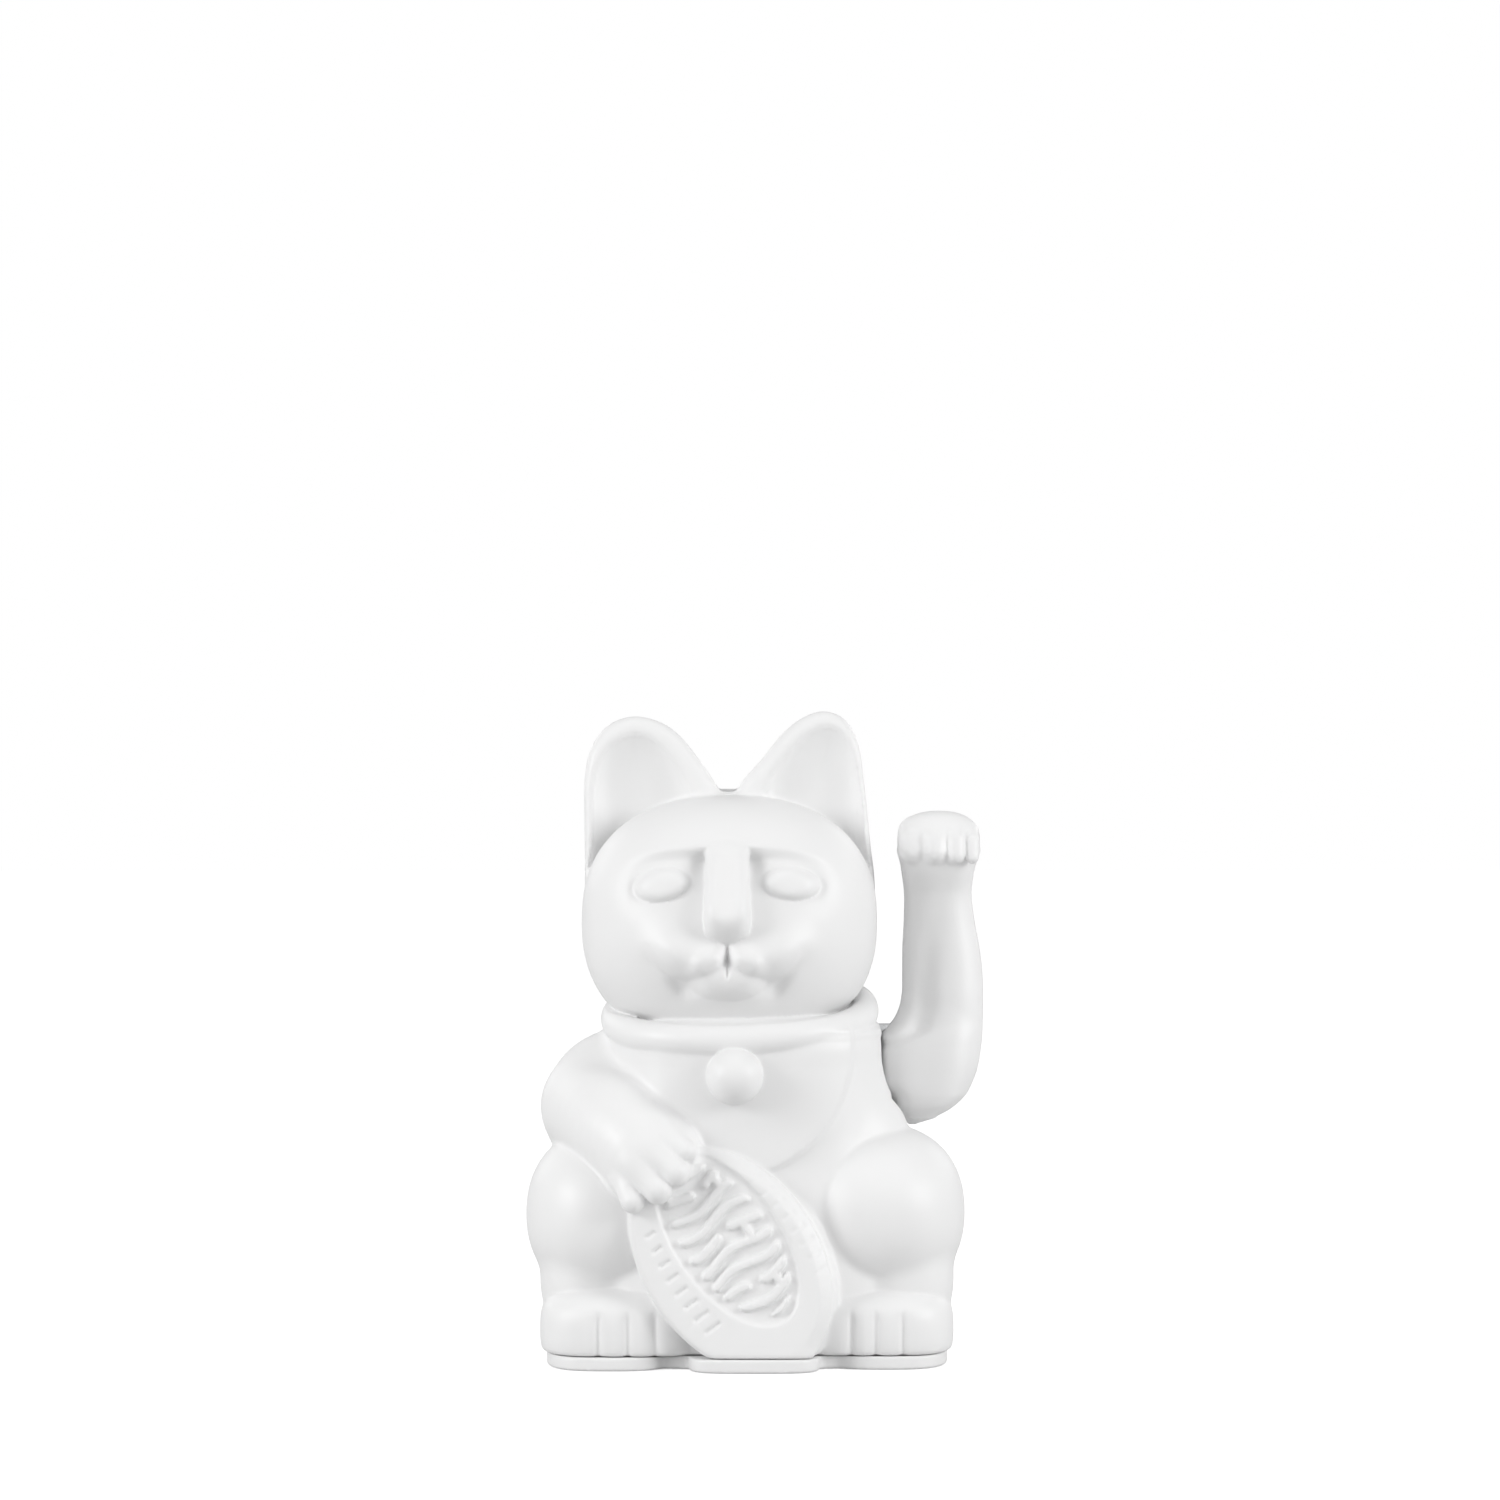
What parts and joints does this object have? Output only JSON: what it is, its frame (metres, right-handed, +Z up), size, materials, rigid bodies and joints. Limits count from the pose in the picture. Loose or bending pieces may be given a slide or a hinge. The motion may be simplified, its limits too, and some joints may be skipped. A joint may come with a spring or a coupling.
{
  "type": "beckoning cat figurine",
  "caption": "Seated cat figurine with a raised arm that swings on an axle, driven by a magnet pendulum over a coil, with a battery well in its base.",
  "frame": {"origin": "centre of the base plate's underside, on the surface that the figurine stands on", "axes": "+Z up, the cat looks along -Y, and its raised arm is on the +X side"},
  "size_m": [0.107, 0.086, 0.15],
  "materials": {
    "casing": "satin moulded, plain white",
    "frame_plastic": "moulded",
    "steel": "bright zinc plated",
    "contact": "nickel plated",
    "magnet": "nickel plated",
    "winding": "enamelled copper wire",
    "cell": "plain printed film",
    "board": "solder mask",
    "chip": "moulded epoxy",
    "capacitor": "shrunk sleeve",
    "red_sleeve": "insulated wire",
    "black_sleeve": "insulated wire"
  },
  "bodies": {
    "casing": {"front_casing": "casing", "rear_casing": "casing", "base_plate": "casing", "base_screw_1": "steel", "base_screw_2": "steel", "base_screw_3": "steel", "base_screw_4": "steel", "axle_tower": "frame_plastic", "tower_screw_1": "steel", "tower_screw_2": "steel", "coil_bobbin": "frame_plastic", "drive_coil": "winding", "coil_lead_1": "winding", "coil_lead_2": "winding", "circuit_board": "board", "board_screw": "steel", "driver_chip": "chip", "capacitor": "capacitor", "battery_cell": "cell", "battery_spring": "contact", "positive_contact": "contact", "negative_contact": "contact", "red_lead": "red_sleeve", "black_lead": "black_sleeve"},
    "swing_arm": {"axle": "steel", "axle_clip": "steel", "pendulum_lever": "frame_plastic", "magnet": "magnet", "arm_front_shell": "casing", "arm_rear_shell": "casing"},
    "door": {"battery_door": "casing"}
  },
  "joints": [
    {"name": "arm_swing", "type": "hinge", "parent": "casing", "child": "swing_arm", "pos_m": [0, 0.008, 0.075], "axis": [1, 0, 0], "range_deg": [-25, 25]},
    {"name": "door_hinge", "type": "hinge", "parent": "casing", "child": "door", "pos_m": [-0.001, 0.0293, 0.00105], "axis": [1, 0, 0], "range_deg": [0, 80]}
  ]
}
